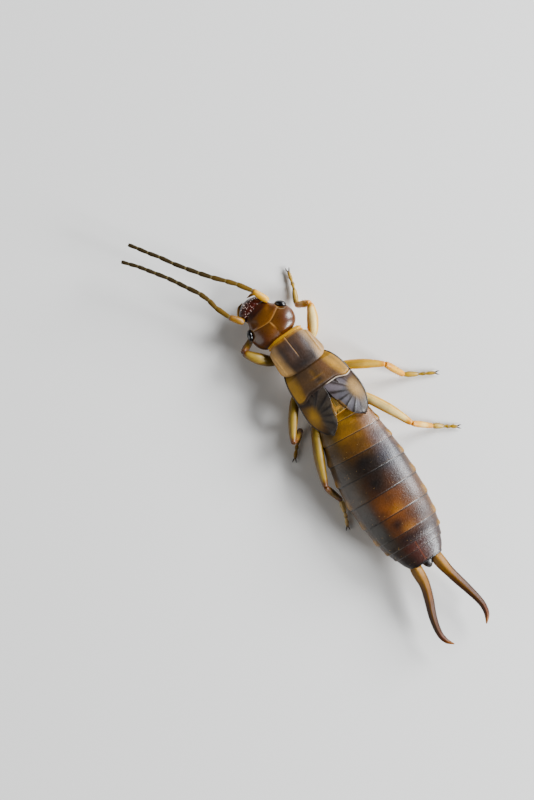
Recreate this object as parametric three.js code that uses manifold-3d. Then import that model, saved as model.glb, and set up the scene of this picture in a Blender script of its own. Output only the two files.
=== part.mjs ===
// A common earwig nymph of the last instar, life size, standing still on its six feet.
// Millimetres. While it is shaped, X points to the animal's left, Y to its tail and Z up, with the floor at
// zero and Y zero at the joint of thorax and abdomen. At the end it is moved to stand over the origin.
import * as THREE from "three";
import { mergeVertices } from "three/addons/utils/BufferGeometryUtils.js";
import Module from "manifold-3d";

const wasm = await Module();
wasm.setup();

// Driving sizes
const seam = 0.1; // between a node and what it grows from
const headLength = 1.6; // neck to the front of the face, without the lip
const headHalfWidth = 0.96; // at the temples
const headTurn = THREE.MathUtils.degToRad(12); // towards the animal's left
const neckAt = new THREE.Vector3(0.09, -4.12, 0.92);
const eyeHalf = new THREE.Vector3(0.13, 0.22, 0.19);
const eyeForward = 0.94;
const eyeAside = 0.82;
const eyeUp = 0.04;
const antennaJoints = 12; // with the two joints of the base
const pronotumFront = -4.1;
const pronotumRear = -2.76;
const forePadRear = -1.72;
const hindPadRear = -0.08;
const thoraxRear = -0.92;
const padThickness = 0.46;
const segmentEnds = [-0.86, -0.36, 0.27, 1.02, 1.81, 2.7, 3.59, 4.37, 4.83, 5.15, 5.72];
const forcepsLength = 3.1;
const legThickness = { femur: 0.5, tibia: 0.44, foot: 0.34, toe: 0.22 };

const vector = (x, y, z) => new THREE.Vector3(x, y, z);
const zUp = vector(0, 0, 1);

// A smooth run through evenly spaced values, read at t from 0 to 1.
function run(values) {
  const curve = new THREE.SplineCurve(values.map((value, i) => new THREE.Vector2(i, value)));
  return (t) => curve.getPoint(THREE.MathUtils.clamp(t, 0, 1)).y;
}

// A point of a rounded box's outline at an angle: 2 gives an ellipse, more gives squarer corners.
function onOutline(angle, squareness) {
  const soften = (value) => Math.sign(value) * Math.abs(value) ** (2 / squareness);
  return [soften(Math.cos(angle)), soften(Math.sin(angle))];
}

// A closed skin in rows along a body. station(t) gives the middle, the side and up directions, the half
// width, the heights above and below the middle, and the squareness of the outline there.
function skin(sides, rows, station) {
  const geometry = new THREE.SphereGeometry(1, sides, rows);
  const position = geometry.getAttribute("position");
  const uv = geometry.getAttribute("uv");
  for (let i = 0; i < position.count; i++) {
    const row = Math.round((1 - uv.getY(i)) * rows);
    const s = station(row / rows);
    const closed = row === 0 || row === rows;
    const [aside, high] = closed ? [0, 0] : onOutline(2 * Math.PI * uv.getX(i), s.squareness ?? 2);
    const point = s.at.clone();
    point.addScaledVector(s.side, aside * s.half);
    point.addScaledVector(s.up, high * (high > 0 ? s.above : s.below));
    position.setXYZ(i, point.x, point.y, point.z);
  }
  return solidOf(geometry);
}

function solidOf(geometry) {
  geometry.deleteAttribute("normal");
  geometry.deleteAttribute("uv");
  const merged = mergeVertices(geometry, 1e-4);
  const vertProperties = merged.getAttribute("position").array;
  const triVerts = new Uint32Array(merged.index.array);
  const made = new wasm.Manifold(new wasm.Mesh({ numProp: 3, vertProperties, triVerts }));
  if (made.volume() > 0) return made;
  const turned = triVerts.map((v, i) => triVerts[i - (i % 3) + [0, 2, 1][i % 3]]);
  return new wasm.Manifold(new wasm.Mesh({ numProp: 3, vertProperties, triVerts: turned }));
}

// A limb along a smooth line through the given points, with blunt round ends. radius(t) gives its thickness,
// and swell makes the same limb thicker and longer all round.
function limb(points, radius, { sides = 8, rows = 8, swell = 0, flat = 1, blunt = 5 } = {}) {
  const line = new THREE.CatmullRomCurve3(points, false, "centripetal");
  return skin(sides, rows, (t) => {
    const s = (1 - Math.cos(Math.PI * t)) / 2;
    const along = line.getTangentAt(s);
    const side = along.clone().cross(zUp).normalize();
    const up = side.clone().cross(along);
    const at = line.getPointAt(s).addScaledVector(along, swell * (2 * s - 1));
    const end = (1 - Math.abs(2 * s - 1) ** blunt) ** (1 / blunt);
    const thick = (radius(s) + swell) * end;
    return { at, side, up, half: thick, above: thick * flat, below: thick * flat };
  });
}

// The largest closed piece of a solid that a cut has parted.
function largest(solid) {
  const pieces = solid.decompose();
  return pieces.reduce((best, piece) => (piece.volume() > best.volume() ? piece : best));
}

const earwig = new THREE.Group();

function material(hex, roughness = 0.35) {
  return new THREE.MeshStandardMaterial({ color: hex, roughness, metalness: 0 });
}

const finish = {
  head: material(0x5a2708, 0.22),
  eye: material(0x0b0b10, 0.2),
  mouth: material(0x3a1208, 0.25),
  amber: material(0xb98a3a, 0.3),
  feeler: material(0x2e2412, 0.5),
  shield: material(0x5b4630, 0.3),
  pad: material(0x6a5334, 0.3),
  abdomen: material(0x4b2c14, 0.32),
  forceps: material(0x7a4a1c, 0.25),
};

function add(name, solid, surface) {
  const mesh = largest(solid).getMesh();
  const geometry = new THREE.BufferGeometry();
  geometry.setAttribute("position", new THREE.BufferAttribute(mesh.vertProperties, 3));
  geometry.setIndex(new THREE.BufferAttribute(mesh.triVerts, 1));
  geometry.computeVertexNormals();
  const node = new THREE.Mesh(geometry, surface);
  node.name = name;
  earwig.add(node);
  return node;
}

const bothSides = [
  ["left", 1],
  ["right", -1],
];

// Head
const headForward = vector(Math.sin(headTurn), -Math.cos(headTurn), -0.14).normalize();
const headLeft = vector(Math.cos(headTurn), Math.sin(headTurn), 0);
const headUp = headForward.clone().cross(headLeft).normalize();
if (headUp.z < 0) headUp.negate();

function onHead(forward, aside, up) {
  return neckAt
    .clone()
    .addScaledVector(headForward, forward)
    .addScaledVector(headLeft, aside)
    .addScaledVector(headUp, up);
}

const headHalf = run([0.62, 0.88, 0.98, 1, 0.95, 0.82, 0.65, 0.54, 0.46].map((share) => share * headHalfWidth));
const headAbove = run([0.2, 0.36, 0.42, 0.44, 0.43, 0.4, 0.34, 0.27, 0.2]);
const headBelow = run([0.22, 0.38, 0.44, 0.45, 0.43, 0.4, 0.36, 0.3, 0.22]);

function headSkin(swell) {
  return skin(24, 14, (t) => {
    const s = (1 - Math.cos(Math.PI * t)) / 2;
    const end = (1 - Math.abs(2 * s - 1) ** 7) ** (1 / 7);
    const at = onHead(headLength * s + swell * (2 * s - 1), 0, 0);
    const half = headHalf(s) * end + swell;
    const above = headAbove(s) * end + swell;
    const below = headBelow(s) * end + swell;
    return { at, side: headLeft, up: headUp, half, above, below, squareness: 2.2 };
  });
}

function eye(sign, swell) {
  const middle = onHead(eyeForward, sign * eyeAside, eyeUp);
  const along = headForward.clone().multiplyScalar(0.82).addScaledVector(headLeft, -sign * 0.57).normalize();
  const side = along.clone().cross(headUp).normalize();
  return skin(12, 8, (t) => {
    const s = -Math.cos(Math.PI * t);
    const round = Math.sqrt(1 - s * s);
    const at = middle.clone().addScaledVector(along, s * (eyeHalf.y + swell));
    const half = (eyeHalf.x + swell) * round;
    const above = (eyeHalf.z + swell) * round;
    return { at, side, up: headUp, half, above, below: above };
  });
}

let head = headSkin(0);
for (const [side, sign] of bothSides) {
  add("eye_" + side, eye(sign, 0), finish.eye);
  head = head.subtract(eye(sign, seam / 2));
}
add("head", head, finish.head);

// Lip, jaws and feeling palps, in front of and beneath the face
const lipLength = 0.34;
const lipHalf = run([0.4, 0.4, 0.38, 0.33, 0.16]);
const lip = skin(16, 8, (t) => {
  const s = (1 - Math.cos(Math.PI * t)) / 2;
  const end = (1 - Math.abs(2 * s - 1) ** 4) ** (1 / 4);
  const at = onHead(headLength - 0.06 + lipLength * s, 0, -0.06 - 0.04 * s);
  return { at, side: headLeft, up: headUp, half: lipHalf(s) * end, above: 0.15 * end, below: 0.12 * end };
});
const headSwollen = headSkin(seam);
add("labrum", lip.subtract(headSwollen), finish.mouth);

for (const [side, sign] of bothSides) {
  const jawLine = [
    onHead(headLength - 0.3, sign * 0.17, -0.4),
    onHead(headLength + 0.04, sign * 0.2, -0.34),
    onHead(headLength + 0.3, sign * 0.12, -0.3),
  ];
  const jaw = limb(jawLine, run([0.12, 0.12, 0.05]), { sides: 8, rows: 8 });
  add("mandible_" + side, jaw.subtract(headSwollen), finish.mouth);
  const palpLine = [
    onHead(headLength - 0.5, sign * 0.42, -0.34),
    onHead(headLength - 0.1, sign * 0.5, -0.34),
    onHead(headLength + 0.28, sign * 0.48, -0.3),
    onHead(headLength + 0.5, sign * 0.36, -0.26),
  ];
  const palp = limb(palpLine, run([0.12, 0.12, 0.1, 0.07]), { sides: 8, rows: 10 });
  add("palp_" + side, palp.subtract(headSwollen), finish.amber);
}

// Antennae: a stout first joint, then a flexible row of joints that narrows to its tip
const antennaLines = {
  left: [
    vector(1.34, -5.9, 0.98),
    vector(1.58, -6.45, 1.06),
    vector(1.66, -6.95, 1.12),
    vector(2.02, -7.66, 1.2),
    vector(2.67, -8.77, 1.28),
    vector(3.44, -9.87, 1.3),
  ],
  right: [
    vector(0.06, -6.12, 1.0),
    vector(0.4, -6.65, 1.1),
    vector(1.06, -7.46, 1.2),
    vector(1.93, -8.7, 1.32),
    vector(2.47, -9.54, 1.36),
    vector(2.88, -10.24, 1.36),
  ],
};
const scapeRoots = { left: vector(0.86, -5.36, 0.84), right: vector(-0.1, -5.54, 0.84) };
const scapeRadius = 0.24;
const flagellumRadius = run([0.22, 0.22, 0.21, 0.2, 0.18, 0.13]);
const flagellumJoints = antennaJoints - 1;
const middleJoint = 5;

// One length of the flagellum, with a waist at the end of each of its joints.
function beads(line, from, to) {
  const joints = to - from;
  const rowsEach = 3;
  const rows = joints * rowsEach + 2;
  const curve = new THREE.CatmullRomCurve3(line, false, "centripetal");
  const span = curve.getLength();
  const start = from / flagellumJoints + (from > 0 ? seam / 2 / span : 0);
  const stop = to / flagellumJoints - (to < flagellumJoints ? seam / 2 / span : 0);
  return skin(8, rows, (t) => {
    const step = THREE.MathUtils.clamp((Math.round(t * rows) - 1) / (rows - 2), 0, 1);
    const s = start + (stop - start) * step;
    const along = curve.getTangentAt(s);
    const side = along.clone().cross(zUp).normalize();
    const up = side.clone().cross(along);
    const inJoint = Math.round(step * (rows - 2)) % rowsEach;
    const waist = inJoint === 0 ? 0.74 : 1;
    const thick = flagellumRadius(s) * waist;
    return { at: curve.getPointAt(s), side, up, half: thick, above: thick, below: thick };
  });
}

for (const [side] of bothSides) {
  const line = antennaLines[side];
  const scapeLine = [scapeRoots[side], scapeRoots[side].clone().lerp(line[0], 0.55), line[0]];
  const scape = (swell) => limb(scapeLine, () => scapeRadius, { sides: 10, rows: 8, swell });
  add("antenna_base_" + side, scape(0).subtract(headSwollen), finish.amber);
  add("antenna_inner_" + side, beads(line, 0, middleJoint).subtract(scape(seam)), finish.feeler);
  add("antenna_outer_" + side, beads(line, middleJoint, flagellumJoints), finish.feeler);
}

// Neck and thorax
const spineX = run([0.09, 0.05, 0.01, -0.06, -0.06]); // the bend of the body's middle, neck to the thorax's rear
const thoraxSpan = thoraxRear - neckAt.y;
const thoraxShare = (y) => (y - neckAt.y) / thoraxSpan;

function atThorax(y, z) {
  return vector(spineX(thoraxShare(y)), y, z);
}

// A stretch of the body's trunk or of a back plate, blunt at both ends.
function stretch(from, to, { half, above, below, level, sides = 20, rows = 8, squareness = 2.4, blunt = 6 }, swell = 0) {
  const ahead = (t) => (1 - Math.cos(Math.PI * t)) / 2;
  const west = vector(1, 0, 0);
  return skin(sides, rows, (t) => {
    const s = ahead(t);
    const end = (1 - Math.abs(2 * s - 1) ** blunt) ** (1 / blunt);
    const at = atThorax(from + (to - from) * s + swell * (2 * s - 1), level);
    return {
      at,
      side: west,
      up: zUp,
      half: half(s) * end + swell,
      above: above(s) * end + swell,
      below: below(s) * end + swell,
      squareness,
    };
  });
}

const flatRun = (value) => () => value;
const trunkLevel = 0.86;
const trunk = { half: flatRun(0.62), above: flatRun(0.36), below: flatRun(0.42), level: trunkLevel, sides: 16 };
const neckFrom = neckAt.y - 0.08;
const neckTo = pronotumFront + 0.3;
const neck = stretch(neckFrom, neckTo, { ...trunk, half: flatRun(0.46), above: flatRun(0.3), below: flatRun(0.3), rows: 6 });

const pronotum = {
  half: run([0.78, 0.88, 0.94, 0.96, 0.95, 0.9, 0.8]),
  above: run([0.2, 0.26, 0.28, 0.28, 0.27, 0.24, 0.2]),
  below: flatRun(0.16),
  level: 1.2,
  sides: 24,
  rows: 10,
  squareness: 2.3,
};
const mesonotum = {
  half: flatRun(0.72),
  above: flatRun(0.24),
  below: flatRun(0.16),
  level: 1.24,
  sides: 20,
  rows: 6,
};

const prothoraxTrunk = (swell) => stretch(pronotumFront + 0.12, pronotumRear - 0.02, trunk, swell);
const pronotumPlate = (swell) => stretch(pronotumFront, pronotumRear, pronotum, swell);
const mesoTrunk = (swell) => stretch(pronotumRear + seam, forePadRear - seam, trunk, swell);
const mesoPlate = (swell) => stretch(pronotumRear + seam, forePadRear - 0.05, mesonotum, swell);
const metaTrunk = (swell) => stretch(forePadRear, thoraxRear, trunk, swell);
const metaPlate = (swell) => stretch(forePadRear + seam / 2, thoraxRear, { ...mesonotum, half: run([0.72, 0.7, 0.6, 0.4]) }, swell);
const prothorax = (swell) => prothoraxTrunk(swell).add(pronotumPlate(swell));
const mesothorax = (swell) => mesoTrunk(swell).add(mesoPlate(swell));
const metathorax = (swell) => metaTrunk(swell).add(metaPlate(swell));
const thoraxSwollen = prothorax(seam).add(mesothorax(seam)).add(metathorax(seam));

add("neck", neck.subtract(headSwollen).subtract(prothorax(seam)), finish.amber);
add("prothorax", prothorax(0).subtract(headSwollen), finish.shield);
add("mesothorax", mesothorax(0).subtract(prothorax(seam)), finish.shield);
add("metathorax", metathorax(0).subtract(mesothorax(seam)), finish.shield);

// Wing pads: flat lobes that grow back and outward from the middle and hind thorax
function padSkin(sign, pad, swell) {
  const west = vector(1, 0, 0);
  return skin(20, pad.rows, (t) => {
    const s = (1 - Math.cos(Math.PI * t)) / 2;
    const end = (1 - Math.abs(2 * s - 1) ** pad.blunt) ** (1 / pad.blunt);
    const y = pad.front + (pad.rear - pad.front) * s + swell * (2 * s - 1);
    const outer = pad.outer(s);
    const inner = pad.inner(s);
    const at = atThorax(y, pad.level(s));
    at.x += (sign * (outer + inner)) / 2;
    const half = ((outer - inner) / 2) * end + swell;
    const above = pad.thick(s) * 0.55 * end + swell;
    const below = pad.thick(s) * 0.45 * end + swell;
    return { at, side: west, up: zUp, half, above, below, squareness: 2 };
  });
}

const forePad = {
  front: pronotumRear - 0.2,
  rear: forePadRear,
  outer: run([0.9, 1.05, 1.12, 1.16, 1.19, 1.19, 1.18]),
  inner: run([0.62, 0.5, 0.45, 0.42, 0.42, 0.42, 0.5]),
  level: run([1.16, 1.2, 1.2, 1.18]),
  thick: flatRun(padThickness),
  rows: 10,
  blunt: 5,
};
const hindPad = {
  front: forePadRear + seam,
  rear: hindPadRear,
  outer: run([1.2, 1.23, 1.23, 1.2, 1.13, 1.0, 0.84]),
  inner: run([0.3, 0.26, 0.2, 0.2, 0.25, 0.38, 0.62]),
  level: run([1.22, 1.28, 1.34, 1.36, 1.36]),
  thick: run([0.46, 0.48, 0.46, 0.42, 0.36]),
  rows: 12,
  blunt: 3.4,
};

// Veins that fan from the pad's outer corner to its inner edge, raised on its top.
const fanRoot = { forward: 0.3, aside: 1.02 };
const fanVeins = 6;
const veinRadius = 0.045;

function padTop(pad, s, aside) {
  const outer = pad.outer(s);
  const inner = pad.inner(s);
  const across = THREE.MathUtils.clamp((2 * aside - outer - inner) / (outer - inner), -0.98, 0.98);
  return pad.level(s) + pad.thick(s) * 0.55 * Math.sqrt(1 - across * across);
}

function vein(sign, index) {
  const share = index / (fanVeins - 1);
  const points = [0.3, 0.55, 0.8, 1].map((reach) => {
    const s = fanRoot.forward + reach * (0.05 + 0.5 * share);
    const aside = fanRoot.aside + reach * (hindPad.inner(s) + 0.08 + 0.1 * share - fanRoot.aside);
    const y = hindPad.front + (hindPad.rear - hindPad.front) * s;
    const at = atThorax(y, padTop(hindPad, s, aside) - 0.01);
    at.x += sign * aside;
    return at;
  });
  return limb(points, () => veinRadius, { sides: 6, rows: 6 });
}

for (const [side, sign] of bothSides) {
  const fore = padSkin(sign, forePad, 0).subtract(thoraxSwollen);
  add("wing_pad_fore_" + side, fore, finish.pad);
  let hind = padSkin(sign, hindPad, 0);
  for (let i = 0; i < fanVeins; i++) hind = hind.add(vein(sign, i));
  add("wing_pad_hind_" + side, hind.subtract(thoraxSwollen).subtract(padSkin(sign, forePad, seam)), finish.pad);
}

// Abdomen: ten rings, each a little wider at its rear edge, over a body that bends to the left
const abdomenFront = segmentEnds[0];
const abdomenRear = segmentEnds[segmentEnds.length - 1];
const bellyMiddle = run([-0.02, 0.1, 0.23, 0.33, 0.39, 0.45, 0.5]);
const bellyHalf = run([0.98, 1.18, 1.36, 1.42, 1.36, 1.14, 0.68]);
const bellyTop = run([0.98, 1.24, 1.5, 1.66, 1.66, 1.52, 1.16]);
const bellyBottom = run([0.44, 0.3, 0.22, 0.2, 0.24, 0.4, 0.66]);
const lipFlare = 0.035;

function abdomenAt(y, flare) {
  const share = (y - abdomenFront) / (abdomenRear - abdomenFront);
  const lean = Math.atan2(bellyMiddle(share + 0.02) - bellyMiddle(share - 0.02), 0.04 * (abdomenRear - abdomenFront));
  const top = bellyTop(share);
  const bottom = bellyBottom(share);
  const level = bottom + (top - bottom) * 0.44;
  return {
    at: vector(bellyMiddle(share), y, level),
    side: vector(Math.cos(lean), -Math.sin(lean), 0),
    up: zUp,
    half: bellyHalf(share) + flare,
    above: top - level + flare,
    below: level - bottom,
    squareness: 2.25,
  };
}

function ring(index) {
  const from = segmentEnds[index] + seam / 2;
  const to = segmentEnds[index + 1] - seam / 2;
  const steps = [0, 0, 0.5, 0.85, 1, 1];
  return skin(24, steps.length - 1, (t) => {
    const s = steps[Math.round(t * (steps.length - 1))];
    return abdomenAt(from + (to - from) * s, lipFlare * s * s);
  });
}

function abdomenHull(swell) {
  const rows = 14;
  return skin(24, rows, (t) => {
    const share = THREE.MathUtils.clamp((t * rows - 1) / (rows - 2), 0, 1);
    const s = abdomenAt(abdomenFront - seam + (abdomenRear - abdomenFront + seam) * share, lipFlare);
    return { ...s, half: s.half + swell, above: s.above + swell, below: s.below + swell };
  });
}

const padsSwollen = bothSides.map(([, sign]) => padSkin(sign, hindPad, seam)).reduce((a, b) => a.add(b));
for (let i = 0; i < segmentEnds.length - 1; i++) {
  let segment = ring(i);
  if (segmentEnds[i] < hindPadRear + seam) segment = segment.subtract(padsSwollen).subtract(metathorax(seam));
  add("abdomen_" + (i + 1), segment, finish.abdomen);
}

// Tail plate and forceps
const tail = abdomenAt(abdomenRear, 0);
const tailBack = vector(-tail.side.y, tail.side.x, 0);

function behindTail(back, aside, up) {
  return tail.at.clone().addScaledVector(tailBack, back).addScaledVector(tail.side, aside).addScaledVector(zUp, up);
}

const tailPlate = skin(12, 6, (t) => {
  const s = (1 - Math.cos(Math.PI * t)) / 2;
  const round = Math.sqrt(Math.max(0, 1 - (2 * s - 1) ** 4));
  const at = behindTail(seam / 2 + 0.3 * s, 0, 0.06);
  return { at, side: tail.side, up: zUp, half: 0.17 * round, above: 0.16 * round, below: 0.14 * round };
});
add("pygidium", tailPlate, finish.abdomen);

const forcepsAside = run([0.4, 0.43, 0.51, 0.66, 0.82, 0.94, 0.99, 0.92, 0.7]);
const forcepsThick = run([0.27, 0.21, 0.17, 0.17, 0.16, 0.15, 0.13, 0.11, 0.05]);
const forcepsUp = run([0, 0.02, 0.02, 0, -0.04, -0.08, -0.1, -0.1, -0.08]);
for (const [side, sign] of bothSides) {
  const count = 12;
  const points = Array.from({ length: count + 1 }, (_, i) => {
    const s = i / count;
    return behindTail(seam / 2 + forcepsLength * s, sign * forcepsAside(s), forcepsUp(s));
  });
  add("forceps_" + side, limb(points, forcepsThick, { sides: 12, rows: 16, flat: 1.15 }), finish.forceps);
}

// Legs: a short hip joint, thigh, shin and foot, each leg set by where its knee, ankle and toe stand
const legs = {
  front_left: {
    hip: vector(0.42, -3.42, 0.62),
    top: vector(0.86, -3.5, 0.6),
    knee: vector(1.66, -4.5, 0.98),
    ankle: vector(1.24, -4.74, 0.24),
    arch: vector(1.16, -5.16, 0.14),
    toe: vector(1.0, -5.68, 0.1),
  },
  front_right: {
    hip: vector(-0.34, -3.42, 0.62),
    top: vector(-0.78, -3.5, 0.6),
    knee: vector(-1.42, -4.6, 0.98),
    ankle: vector(-0.98, -4.84, 0.24),
    arch: vector(-1.26, -5.41, 0.14),
    toe: vector(-1.46, -6.06, 0.1),
  },
  middle_left: {
    hip: vector(0.42, -2.2, 0.62),
    top: vector(0.9, -2.2, 0.58),
    knee: vector(2.06, -0.72, 0.98),
    ankle: vector(1.56, -0.93, 0.24),
    arch: vector(1.93, -0.6, 0.14),
    toe: vector(2.36, -0.16, 0.1),
  },
  middle_right: {
    hip: vector(-0.42, -2.2, 0.62),
    top: vector(-0.9, -2.15, 0.58),
    knee: vector(-2.41, -1.15, 1.0),
    ankle: vector(-2.76, -0.44, 0.24),
    arch: vector(-3.26, -0.11, 0.14),
    toe: vector(-3.8, 0.21, 0.1),
  },
  hind_left: {
    hip: vector(0.42, -1.2, 0.6),
    top: vector(0.92, -0.95, 0.56),
    knee: vector(2.02, 1.32, 0.98),
    ankle: vector(1.82, 2.06, 0.24),
    arch: vector(1.98, 2.56, 0.14),
    toe: vector(2.2, 3.04, 0.1),
  },
  hind_right: {
    hip: vector(-0.42, -1.2, 0.6),
    top: vector(-0.92, -0.95, 0.56),
    knee: vector(-1.96, 1.22, 1.0),
    ankle: vector(-2.54, 1.74, 0.24),
    arch: vector(-2.86, 1.98, 0.14),
    toe: vector(-3.32, 2.32, 0.1),
  },
};
const roomSize = 60;
const aboveFloor = solidOf(new THREE.BoxGeometry(roomSize, roomSize, roomSize).translate(0, 0, roomSize / 2));
const { femur, tibia, foot, toe } = legThickness;
const femurRadius = run([0.36, 0.5, 0.54, 0.5, 0.44].map((share) => share * femur));
const tibiaRadius = run([0.46, 0.5, 0.5, 0.48].map((share) => share * tibia));
const footRadius = run([foot * 0.5, foot * 0.5, foot * 0.42, foot * 0.46, toe * 0.5]);

const trunkSwollen = thoraxSwollen.add(abdomenHull(seam));
for (const [name, leg] of Object.entries(legs)) {
  const outward = Math.sign(leg.knee.x) * 0.06;
  const bend = leg.top.clone().lerp(leg.knee, 0.55).add(vector(outward, 0, 0.08));
  const coxa = (swell) => limb([leg.hip, leg.hip.clone().lerp(leg.top, 0.5), leg.top], () => 0.27, { rows: 6, swell });
  const thigh = (swell) => limb([leg.top, bend, leg.knee], femurRadius, { sides: 10, rows: 8, swell, blunt: 4 });
  const shin = (swell) => limb([leg.knee, leg.knee.clone().lerp(leg.ankle, 0.5), leg.ankle], tibiaRadius, { rows: 6, swell });
  const sole = limb([leg.ankle, leg.arch, leg.toe], footRadius, { rows: 8 });
  add("coxa_" + name, coxa(0).subtract(trunkSwollen), finish.amber);
  add("femur_" + name, thigh(0).subtract(coxa(seam)).subtract(trunkSwollen), finish.amber);
  add("tibia_" + name, shin(0).subtract(thigh(seam)).intersect(aboveFloor), finish.amber);
  add("tarsus_" + name, sole.subtract(shin(seam)).intersect(aboveFloor), finish.amber);
}

// Stand it over the origin.
const bounds = new THREE.Box3().setFromObject(earwig);
const middle = bounds.getCenter(vector(0, 0, 0));
earwig.position.set(-middle.x, -middle.y, -bounds.min.z);

export default earwig;
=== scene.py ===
# An earwig nymph of the last instar, life size, seen from above on a pale floor.
# Shapes are worked out in millimetres: X to the animal's left, Y to its tail, Z up from the floor.
import math
import random

import bmesh
import bpy
from mathutils import Matrix, Vector


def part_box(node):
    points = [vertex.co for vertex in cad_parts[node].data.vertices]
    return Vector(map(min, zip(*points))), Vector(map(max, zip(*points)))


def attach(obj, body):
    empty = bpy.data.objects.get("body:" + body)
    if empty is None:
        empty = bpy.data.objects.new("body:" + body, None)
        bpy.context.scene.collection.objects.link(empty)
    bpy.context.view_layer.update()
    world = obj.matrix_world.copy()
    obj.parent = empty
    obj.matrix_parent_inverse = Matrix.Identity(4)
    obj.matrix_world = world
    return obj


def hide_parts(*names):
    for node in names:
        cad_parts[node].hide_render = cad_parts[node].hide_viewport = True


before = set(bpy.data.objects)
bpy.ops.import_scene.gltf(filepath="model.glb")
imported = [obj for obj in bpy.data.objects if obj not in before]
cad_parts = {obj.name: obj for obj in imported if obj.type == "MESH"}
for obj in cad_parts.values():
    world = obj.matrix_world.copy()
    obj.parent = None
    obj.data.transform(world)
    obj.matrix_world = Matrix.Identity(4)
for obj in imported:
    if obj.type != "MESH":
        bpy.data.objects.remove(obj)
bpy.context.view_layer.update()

MM = 0.001
UP = Vector((0, 0, 1))
WEST = Vector((1, 0, 0))

HEAD_TURN = math.radians(12)
HEAD_LENGTH = 1.6
NECK = Vector((0.09, -4.12, 0.92))
EYE_FORWARD = 0.94
EYE_ASIDE = 0.82
EYE_UP = 0.04
EYE_HALF = Vector((0.13, 0.225, 0.18))

PRONOTUM_FRONT = -4.1
PRONOTUM_REAR = -2.72
MESO_REAR = -1.72
HIND_PAD_REAR = -0.08
THORAX_REAR = -0.92
SEGMENT_ENDS = [-0.86, -0.36, 0.27, 1.02, 1.81, 2.7, 3.59, 4.37, 4.83, 5.15, 5.72]

SIDES = (("left", 1), ("right", -1))

dice = random.Random(7)


# Numbers and lines

def clamp(value, low=0.0, high=1.0):
    return max(low, min(high, value))


def ease(value, low, high):
    share = clamp((value - low) / (high - low))
    return share * share * (3 - 2 * share)


def bump(value, middle, width):
    """1 at the middle, falling smoothly to 0 at width from it."""
    return 1 - ease(abs(value - middle), 0, width)


def run(values):
    """A smooth run through evenly spaced numbers or points, read at t from 0 to 1."""
    last = len(values) - 1

    def read(t):
        place = clamp(t) * last
        i = min(int(place), last - 1)
        f = place - i
        a, b = values[max(i - 1, 0)], values[i]
        c, d = values[i + 1], values[min(i + 2, last)]
        value = b * 2 + (c - a) * f
        value = value + (a * 2 - b * 5 + c * 4 - d) * f * f
        value = value + (b * 3 - a - c * 3 + d) * f ** 3
        return value * 0.5

    return read


def keyed(pairs):
    """A smooth run through (place, value) pairs that aren't evenly spaced."""
    last = len(pairs) - 1
    slopes = []
    for i in range(last + 1):
        a, b = pairs[max(i - 1, 0)], pairs[min(i + 1, last)]
        slopes.append((b[1] - a[1]) * (1 / (b[0] - a[0])))

    def read(place):
        if place <= pairs[0][0]:
            return pairs[0][1]
        if place >= pairs[last][0]:
            return pairs[last][1]
        i = max(k for k in range(last) if pairs[k][0] <= place)
        (a, low), (b, high) = pairs[i], pairs[i + 1]
        gap = b - a
        f = (place - a) / gap
        start, stop = slopes[i] * gap, slopes[i + 1] * gap
        rise = high - low
        value = low + start * f + (rise * 3 - start * 2 - stop) * f ** 2
        return value + (start + stop - rise * 2) * f ** 3

    return read


def smooth_line(points, steps=160):
    """A smooth line through points, read by its length from 0 to 1 as (point, direction)."""
    read = run([Vector(p) for p in points])
    places = [read(i / steps) for i in range(steps + 1)]
    lengths = [0.0]
    for a, b in zip(places, places[1:]):
        lengths.append(lengths[-1] + (b - a).length)

    def at(s):
        wanted = clamp(s) * lengths[-1]
        i = 0
        while i < steps - 1 and lengths[i + 1] < wanted:
            i += 1
        f = (wanted - lengths[i]) / max(lengths[i + 1] - lengths[i], 1e-9)
        ahead = places[min(i + 2, steps)] - places[max(i - 1, 0)]
        return places[i].lerp(places[i + 1], f), ahead.normalized()

    return at


def srgb(hex_colour):
    """Linear colour from a web colour."""
    parts = [int(hex_colour[i:i + 2], 16) / 255 for i in (1, 3, 5)]
    return Vector([p / 12.92 if p <= 0.04045 else ((p + 0.055) / 1.055) ** 2.4 for p in parts])


def ramp(*stops):
    """Web colours at places, as linear colours run together."""
    return keyed([(place, srgb(tone)) for place, tone in stops])


def tones_of(text):
    """The linear colours of a line of web colours."""
    return [srgb(tone) for tone in text.split()]


def washed(colour, *washes):
    """A colour with web colours laid over it, one after another, each with its strength."""
    for tone, strength in washes:
        colour = colour.lerp(srgb(tone), strength)
    return colour


# Skins, plates and pieces

THINNEST = 1e-4
PLATE_THICKNESS = 0.05


def skin(sides, rows, station, relief=None):
    """A closed skin in rows along a body. station(t) gives a dict with the middle, the side and up
    directions, the half width and the heights above and below it, for t from 0 to 1."""
    bm = bmesh.new()
    bmesh.ops.create_uvsphere(bm, u_segments=sides, v_segments=rows, radius=1.0)
    along = bm.verts.layers.float.new("along")
    around = bm.verts.layers.float.new("around")
    stations = {}
    for vertex in bm.verts:
        row = round(math.acos(clamp(-vertex.co.z, -1, 1)) / math.pi * rows)
        if row not in stations:
            stations[row] = station(row / rows)
        s = stations[row]
        if row in (0, rows):
            vertex[along] = row / rows
            vertex.co = s["at"]
            continue
        angle = math.atan2(vertex.co.y, vertex.co.x)
        power = 2 / s.get("square", 2)
        across = math.copysign(abs(math.cos(angle)) ** power, math.cos(angle))
        high = math.copysign(abs(math.sin(angle)) ** power, math.sin(angle))
        half = s["half"]
        lift = s["above"] if high > 0 else s["below"]
        vertex[along] = row / rows
        vertex[around] = angle
        place = s["at"] + s["side"] * (across * half) + s["up"] * (high * lift)
        if relief:
            sideways = s["side"] * (across / max(half, THINNEST))
            upward = s["up"] * (high / max(lift, THINNEST))
            place += (sideways + upward).normalized() * relief(row / rows, angle, place)
        vertex.co = place
    return bm


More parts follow.
